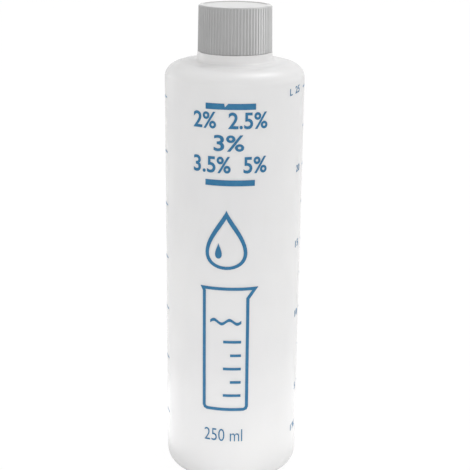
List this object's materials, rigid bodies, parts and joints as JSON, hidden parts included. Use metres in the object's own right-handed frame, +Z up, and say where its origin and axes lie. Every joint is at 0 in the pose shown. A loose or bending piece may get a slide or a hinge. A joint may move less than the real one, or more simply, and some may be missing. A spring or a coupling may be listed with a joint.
{
  "type": "oil measuring bottle",
  "caption": "Slim round blow-moulded bottle with a rounded shoulder, a short threaded neck, a ribbed screw cap and a printed level scale for measuring out oil.",
  "frame": {"origin": "middle of the flat standing ring, on the surface that the bottle stands on", "axes": "+Z up along the bottle's axis; the printed front faces -Y and the level scale's numbers are towards +X"},
  "size_m": [0.049, 0.049, 0.1724],
  "materials": {
    "natural_hdpe": "satin, milky and slightly translucent, blow moulded",
    "grey_polypropylene": "satin, injection moulded",
    "foam_wad": "matt foam",
    "blue_ink": "screen-printed ink"
  },
  "bodies": {
    "bottle": {"bottle": "natural_hdpe"},
    "liner": {"cap_liner": "foam_wad"},
    "cap": {"screw_cap": "grey_polypropylene"}
  },
  "joints": [
    {"name": "cap_lift", "type": "slide", "parent": "bottle", "child": "liner", "axis": [0, 0, 1], "range_m": [0, 0.0191]},
    {"name": "cap_turn", "type": "hinge", "parent": "liner", "child": "cap", "pos_m": [0, 0, 0.1646], "axis": [0, 0, 1], "range_deg": [0, 2160]}
  ],
  "couplings": [
    {"joint": "cap_lift", "follows": "cap_turn", "m_per_rad": 0.00050532}
  ]
}
